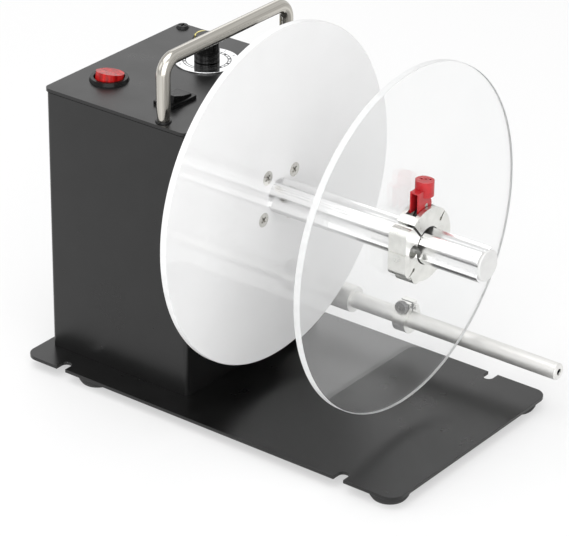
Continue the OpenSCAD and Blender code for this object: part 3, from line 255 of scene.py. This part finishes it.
def drawnAlong(piece, node):
    low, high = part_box(node)
    mid = (low[0] + high[0]) / 2
    thick = (high[0] - low[0]) / 2
    legs = (low[1] + thick, high[1] - thick)
    bend = handle["bend"] * mm
    layer = piece.data.attributes.new(handleSteel["along"], "FLOAT_VECTOR", "POINT")
    for vert in piece.data.vertices:
        x, y, z = vert.co
        y0 = min(max(y, legs[0] + bend), legs[1] - bend)
        z0 = min(z, high[2] - thick - bend)
        out = math.hypot(y - y0, z - z0) - bend
        layer.data[vert.index].vector = ((x - mid) / thick, out / thick, y + z)


bar = eased(handle["node"], handle["width"], handle["segments"], finishOf(handleSteel))
drawnAlong(bar, handle["node"])

# controls
blackPlastic = {"name": "black_plastic", "dark": grey(0.004), "light": grey(0.007),
                "rough": (0.16, 0.24), "specular": 0.2, "patch": 250, "fine": 2600, "bump": 0.00003,
                "ease": {"handle_washers": (0.2, 2), "power_switch": (0.3, 2),
                         "direction_switch": (0.3, 2), "button_housing": (0.3, 2),
                         "power_inlet": (0.3, 2), "direction_rocker": (0.4, 3)},
                "inner": ("board_parts",)}
# the red key's tall streaks of dark and bright red are painted highlights and painted shade, standing in for
# its glints and internal reflections
redKeyWithPaintedStreaks = {"name": "red_key_painted_streaks", "dark": (0.32, 0.002, 0.003), "light": (0.78, 0.02, 0.018),
          "rough": (0.04, 0.08), "patch": 420, "patchStretch": (1, 1, 0.12), "clear": 0.25,
          "specular": 0.28, "fine": 900, "bump": 0.00001, "ease": {"power_rocker": (0.35, 3)}}
yellowKey = {"name": "yellow_key", "dark": (0.72, 0.6, 0.12), "light": (0.8, 0.7, 0.2),
             "rough": (0.2, 0.3), "patch": 200, "bump": 0.00001, "ease": {"push_button": (0.5, 3)}}
knobBlack = {"name": "knob_black", "dark": grey(0.004), "light": grey(0.006), "rough": (0.12, 0.2),
             "specular": 0.25, "patch": 300, "fine": 2200, "bump": 0.00001,
             "ease": {"speed_knob": (0.25, 2)}}
dialMetal = {"name": "dial_metal", "dark": (0.74, 0.745, 0.75), "light": (0.82, 0.825, 0.83),
             "rough": (0.05, 0.1), "metal": 1, "patch": 120, "fine": 900, "bump": 0.000003,
             "ease": {"dial_plate": (0.25, 3)}}
lens = {"radius": 4.1, "rise": 1.3, "sunk": 0.3, "rows": 7, "steps": 48, "weld": 0.005, "smooth": 40}


def domedLens(material):
    wide, rise, sunk = (lens[k] * mm for k in ("radius", "rise", "sunk"))
    turns = [math.pi / 2 * row / lens["rows"] for row in range(lens["rows"])]
    line = [(0, 0, -sunk), (wide, 0, -sunk)]
    line += [(wide * math.cos(t), 0, rise * math.sin(t)) for t in turns] + [(0, 0, rise)]
    bm = bmesh.new()
    spun(bm, line, (0, 0, 1), lens["steps"], closed=False)
    bmesh.ops.remove_doubles(bm, verts=bm.verts, dist=lens["weld"] * mm)
    bmesh.ops.recalc_face_normals(bm, faces=bm.faces)
    mesh = meshFrom(bm, "button_lens")
    mesh.transform(topCentre("push_button"))
    smoothShade(mesh, lens["smooth"])
    addPiece("button_lens", mesh, "push_button", material)


wear(blackPlastic)
wear(redKeyWithPaintedStreaks)
domedLens(wear(yellowKey))
wear(knobBlack)
wear(dialMetal)
print("controls made")

# scale printed on the dial, read at the front; ticks and blocks take turns
scale = {"rings": (11.9, 14.1), "line": 0.5, "ringSteps": 96, "ink": 0.04, "sweep": 300, "steps": 20,
         "tick": 0.5, "block": 3.2, "blockEvery": 2, "clear": 2.2, "figures": 11, "figureAt": 16.4,
         "figureHigh": 2.3, "weld": 0.0005}
printBlack = {"name": "dial_print", "dark": grey(0.01), "light": grey(0.016), "rough": (0.35, 0.45),
              "patch": 400}


def addFigure(bm, text, high, thick, place):
    letters = bpy.data.curves.new("figure", "FONT")
    letters.body = text
    letters.size = high
    letters.extrude = thick / 2
    letters.align_x, letters.align_y = "CENTER", "CENTER"
    letters.resolution_u = 2
    holder = link(bpy.data.objects.new("figure", letters))
    bpy.context.view_layer.update()
    ready = holder.evaluated_get(bpy.context.evaluated_depsgraph_get())
    flat = bpy.data.meshes.new_from_object(ready)
    flat.transform(place)
    bm.from_mesh(flat)
    bpy.data.meshes.remove(flat)
    bpy.data.objects.remove(holder)
    bpy.data.curves.remove(letters)


def printDial():
    ink, line = scale["ink"] * mm, scale["line"] * mm
    near, far = (r * mm for r in scale["rings"])
    start = math.radians(-90 - (360 - scale["sweep"]) / 2)
    sweep = math.radians(scale["sweep"])
    bm = bmesh.new()
    for inner, outer in ((near, near + line), (far - line, far)):
        ring = ((inner, 0, 0), (outer, 0, 0), (outer, 0, ink), (inner, 0, ink))
        spun(bm, ring, (0, 0, 1), scale["ringSteps"])
    for k in range(scale["steps"] + 1):
        turn = Matrix.Rotation(start - sweep * k / scale["steps"], 4, "Z")
        wide = scale["tick"] * (scale["block"] if k % scale["blockEvery"] else 1) * mm
        place = turn @ Matrix.Translation(((near + far) / 2, 0, ink / 2))
        size = Matrix.Diagonal((far - near - scale["clear"] * line, wide, ink, 1))
        bmesh.ops.create_cube(bm, size=1, matrix=place @ size)
    for k in range(scale["figures"]):
        turn = Matrix.Rotation(start - sweep * k / (scale["figures"] - 1), 4, "Z")
        place = turn @ Matrix.Translation((scale["figureAt"] * mm, 0, ink / 2))
        upright = Matrix.Rotation(-math.pi / 2, 4, "Z")
        addFigure(bm, str(k), scale["figureHigh"] * mm, ink, place @ upright)
    bmesh.ops.remove_doubles(bm, verts=bm.verts, dist=scale["weld"] * mm)
    bmesh.ops.recalc_face_normals(bm, faces=bm.faces)
    mesh = meshFrom(bm, "dial_scale")
    mesh.transform(topCentre("dial_plate"))
    addPiece("dial_scale", mesh, "frame", finishOf(printBlack))


printDial()
print("dial printed")

# discs
opal = {"name": "opal_acrylic", "dark": grey(0.875), "light": grey(0.9), "rough": (0.03, 0.06),
        "patch": 20, "fine": 60, "bump": 0.00002, "bumpStrength": 0.15}
opalRim = {"name": "opal_rim", "dark": grey(0.7), "light": grey(0.76), "rough": (0.3, 0.42),
           "patch": 200, "fine": 1800, "bump": 0.00003}
clearAcrylic = {"name": "clear_acrylic", "dark": (0.965, 0.97, 0.97), "light": (0.98, 0.982, 0.982),
                "rough": (0.0, 0.003), "patch": 15, "clear": 0.95, "ior": 1.49}
frostedRim = {"name": "frosted_rim", "dark": (0.77, 0.775, 0.775), "light": (0.83, 0.835, 0.835),
              "rough": (0.3, 0.4), "patch": 200, "clear": 0.25, "ior": 1.49, "fine": 1800,
              "bump": 0.00003}
rearDisc = {"node": "rear_disc", "bore": 10.02, "holeAt": 17.5, "turns": (37, 127, 217, 307),
            "hole": 4.04, "sink": 8.64, "sinkDeep": 2.3, "sinkFace": 1}
frontDisc = {"node": "front_disc", "bore": 10.8, "holeAt": 15.8, "turns": (35, 255, 330),
             "hole": 3.04, "sink": 6, "sinkDeep": 1.8, "sinkFace": -1}
turning = {"zone": 26, "edge": 0.35, "edgeSegments": 3, "steps": 192, "smooth": 34, "flatFace": 0.999,
           "rimBand": 0.4, "near": 0.01}
drilling = {"sides": 40, "past": 0.5, "through": 3}


def screwHoles(disc, faceX, thick):
    bm = bmesh.new()
    reach, deep, past = disc["holeAt"] * mm, disc["sinkDeep"] * mm, drilling["past"] * mm
    wide, narrow = disc["sink"] / 2 * mm, disc["hole"] / 2 * mm
    flare = (wide - narrow) / deep * past
    for turn in disc["turns"]:
        a = math.radians(turn)
        spot = Vector((faceX, math.cos(a) * reach, math.sin(a) * reach))
        lie = Matrix.Translation(spot) @ Matrix.Rotation(disc["sinkFace"] * math.pi / 2, 4, "Y")
        bmesh.ops.create_cone(bm, cap_ends=True, segments=drilling["sides"], radius1=narrow - flare,
                              radius2=wide + flare, depth=deep + 2 * past,
                              matrix=lie @ Matrix.Translation((0, 0, -deep / 2)))
        bmesh.ops.create_cone(bm, cap_ends=True, segments=drilling["sides"], radius1=narrow,
                              radius2=narrow, depth=drilling["through"] * thick, matrix=lie)
    return meshFrom(bm, "holes")


def discBlank(disc, low, high):
    outer, bore, zone = (high[2] - low[2]) / 2, disc["bore"] * mm, turning["zone"] * mm
    near = turning["near"] * mm
    section = ((low[0], bore), (low[0], zone), (low[0], outer),
               (high[0], outer), (high[0], zone), (high[0], bore))
    bm = bmesh.new()
    spun(bm, [(x, 0, r) for x, r in section], (1, 0, 0), turning["steps"])
    bmesh.ops.recalc_face_normals(bm, faces=bm.faces)
    corners = [e for e in bm.edges
               if all(math.hypot(v.co.y, v.co.z) > outer - near for v in e.verts)
               and abs(e.verts[0].co.x - e.verts[1].co.x) < near]
    bmesh.ops.bevel(bm, geom=corners, offset=turning["edge"] * mm, affect="EDGES",
                    segments=turning["edgeSegments"], profile=0.5, material=-1)
    return meshFrom(bm, "disc_blank")


def turnedDisc(disc, material, rim):
    node = disc["node"]
    low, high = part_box(node)
    middle = Vector((0, (low[1] + high[1]) / 2, (low[2] + high[2]) / 2))
    sunkX = high[0] if disc["sinkFace"] > 0 else low[0]
    holder = link(bpy.data.objects.new("disc_blank", discBlank(disc, low, high)))
    cutter = link(bpy.data.objects.new("disc_holes", screwHoles(disc, sunkX, high[0] - low[0])))
    drill = holder.modifiers.new("drill", "BOOLEAN")
    drill.object, drill.operation, drill.solver, drill.use_self = cutter, "DIFFERENCE", "EXACT", True
    bpy.context.view_layer.update()
    ready = holder.evaluated_get(bpy.context.evaluated_depsgraph_get())
    mesh = bpy.data.meshes.new_from_object(ready)
    for temporary in (holder, cutter):
        bpy.data.objects.remove(temporary)
    mesh.transform(Matrix.Translation(middle))
    mesh.name = node + "_turned"
    piece = addPiece(node + "_turned", mesh, bodyOf[node], material)
    mesh.materials.append(rim)
    smoothShade(mesh, turning["smooth"])
    rimFrom = (high[2] - low[2]) / 2 - turning["rimBand"] * mm
    for face in mesh.polygons:
        face.use_smooth = abs(face.normal.x) < turning["flatFace"]  # the two faces stay dead flat
        away = math.hypot(face.center.y - middle.y, face.center.z - middle.z)
        face.material_index = 1 if away > rimFrom else 0
    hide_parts(node)


turnedDisc(rearDisc, finishOf(opal), finishOf(opalRim))
turnedDisc(frontDisc, finishOf(clearAcrylic), finishOf(frostedRim))
print("discs turned")

# spindle, clamp and rod
brightBar = {"name": "bright_bar", "dark": grey(0.84), "light": grey(0.91), "rough": (0.2, 0.28),
             "metal": 1, "patch": 120, "patchStretch": (0.04, 1, 1), "stretch": (0.03, 1, 1),
             "fine": 1600, "bump": 0.00002, "ease": {"spindle": (0.12, 2)}}
whiteCap = {"name": "white_cap", "dark": (0.64, 0.64, 0.63), "light": (0.7, 0.7, 0.69),
            "rough": (0.3, 0.4), "patch": 150, "fine": 1800, "bump": 0.00002,
            "ease": {"end_cap": (0.4, 3)}}
nickel = {"name": "nickel_clamp", "dark": (0.71, 0.71, 0.68), "light": (0.81, 0.81, 0.78),
          "rough": (0.26, 0.36), "metal": 1, "patch": 160, "fine": 2400, "bump": 0.00003,
          "ease": {"clamp_collar": (0.35, 2), "stop_collar": (0.25, 2)}}
redLever = {"name": "red_lever", "dark": (0.42, 0.01, 0.015), "light": (0.5, 0.017, 0.022),
            "rough": (0.12, 0.2), "patch": 250, "fine": 2000, "bump": 0.00002,
            "ease": {"cam_lever": (0.5, 3)}}
satinRod = {"name": "satin_rod", "dark": (0.75, 0.745, 0.725), "light": (0.83, 0.825, 0.805),
            "rough": (0.41, 0.51), "metal": 0.76, "patch": 150, "patchStretch": (0.2, 1, 1),
            "stretch": (0.15, 1, 1), "fine": 2200, "bump": 0.00001,
            "ease": {"guide_rod": (0.15, 2), "rod_bracket": (0.3, 2)}}
for look in (brightBar, whiteCap, nickel, redLever, satinRod):
    wear(look)
print("spindle and rod finished")

# drive and wiring, mostly inside the cabinet
machined = {"name": "machined_aluminium", "dark": grey(0.7), "light": grey(0.8), "rough": (0.3, 0.42),
            "metal": 1, "patch": 200, "fine": 1800, "bump": 0.00003,
            "ease": {"hub_flange": (0.3, 2), "bearing_housing": (0.3, 2)},
            "inner": ("motor_pulley", "driven_pulley")}
innerSteel = {"name": "ground_steel", "dark": grey(0.5), "light": grey(0.6), "rough": (0.24, 0.36),
              "metal": 1, "patch": 200, "fine": 2000, "bump": 0.00002,
              "inner": ("potentiometer", "pot_shaft", "motor_shaft", "drive_shaft", "ball_bearings",
                        "gearmotor", "motor_bracket")}
boardGreen = {"name": "board_green", "dark": (0.02, 0.11, 0.05), "light": (0.03, 0.15, 0.07),
              "rough": (0.35, 0.45), "patch": 300, "fine": 900, "bump": 0.00004,
              "inner": ("control_board",)}
beltRubber = {"name": "belt_rubber", "dark": grey(0.012), "light": grey(0.02), "rough": (0.55, 0.7),
              "patch": 300, "bump": 0.00008, "inner": ("drive_belt",)}
wireSkin = {"name": "wire_skin", "dark": (0.2, 0.012, 0.012), "light": (0.28, 0.02, 0.02),
            "rough": (0.35, 0.5), "patch": 200, "bump": 0.00003, "inner": ("wiring_loom",)}
for look in (machined, innerSteel, boardGreen, beltRubber, wireSkin):
    wear(look)
print("drive dressed")

# floor and light; the camera, gloss and glass see a white backdrop
studio = {"floor": 6.0, "floorTint": grey(0.82), "floorRough": 0.6, "floorGlow": 0.5, "sky": 0.68,
          "backdrop": 1}
lamps = {"top": {"place": (-0.2, -0.3, 1.8), "aim": (0, 0, 0.1), "size": 1.6, "power": 16},
         "left": {"place": (-1.5, -1.4, 1.2), "aim": (0, 0, 0.1), "size": 1.2, "power": 5},
         "right": {"place": (1.2, -1.6, 0.9), "aim": (0, 0, 0.1), "size": 2.6, "power": 37},
         "back": {"place": (-1.2, 1.42, 1.1), "aim": (-0.08, 0, 0.17), "size": 0.9, "power": 1.6}}


def backdropMix(tree, shaded, glow):
    path = tree.nodes.new("ShaderNodeLightPath")
    seen = tree.nodes.new("ShaderNodeMath")
    seen.operation = "MAXIMUM"
    through = tree.nodes.new("ShaderNodeMath")
    through.operation = "MAXIMUM"
    mix = tree.nodes.new("ShaderNodeMixShader")
    tree.links.new(path.outputs["Is Camera Ray"], seen.inputs[0])
    tree.links.new(path.outputs["Is Glossy Ray"], seen.inputs[1])
    tree.links.new(seen.outputs[0], through.inputs[0])
    tree.links.new(path.outputs["Is Transmission Ray"], through.inputs[1])
    tree.links.new(through.outputs[0], mix.inputs["Fac"])
    tree.links.new(shaded, mix.inputs[1])
    tree.links.new(glow, mix.inputs[2])
    return mix.outputs["Shader"]


def layFloor():
    bm = bmesh.new()
    bmesh.ops.create_grid(bm, x_segments=1, y_segments=1, size=studio["floor"] / 2)
    mesh = meshFrom(bm, "floor")
    floor = link(bpy.data.objects.new("floor", mesh))
    material, tree, shader = newTree("floor_paper")
    shader.inputs["Base Color"].default_value = (*studio["floorTint"], 1)
    shader.inputs["Roughness"].default_value = studio["floorRough"]
    glow = tree.nodes.new("ShaderNodeEmission")
    part = tree.nodes.new("ShaderNodeMixShader")
    part.inputs["Fac"].default_value = studio["floorGlow"]
    tree.links.new(shader.outputs["BSDF"], part.inputs[1])
    tree.links.new(glow.outputs["Emission"], part.inputs[2])
    surface = backdropMix(tree, shader.outputs["BSDF"], part.outputs["Shader"])
    tree.links.new(surface, tree.nodes["Material Output"].inputs["Surface"])
    mesh.materials.append(material)


def lightSky():
    world = bpy.data.worlds.new("studio")
    scene.world = world
    world.use_nodes = True
    tree = world.node_tree
    soft = tree.nodes["Background"]
    soft.inputs["Color"].default_value = (1, 1, 1, 1)
    soft.inputs["Strength"].default_value = studio["sky"]
    white = tree.nodes.new("ShaderNodeBackground")
    white.inputs["Strength"].default_value = studio["backdrop"]
    sky = backdropMix(tree, soft.outputs["Background"], white.outputs["Background"])
    tree.links.new(sky, tree.nodes["World Output"].inputs["Surface"])


def hangLamp(name, lamp):
    data = bpy.data.lights.new(name + "_lamp", "AREA")
    data.shape = "SQUARE"
    data.size = lamp["size"]
    data.energy = lamp["power"]
    light = link(bpy.data.objects.new(name + "_lamp", data))
    light.location = lamp["place"]
    ahead = Vector(lamp["aim"]) - Vector(lamp["place"])
    light.rotation_euler = ahead.to_track_quat("-Z", "Y").to_euler()


layFloor()
lightSky()
for lampName, lamp in lamps.items():
    hangLamp(lampName, lamp)
print("floor and lamps set")
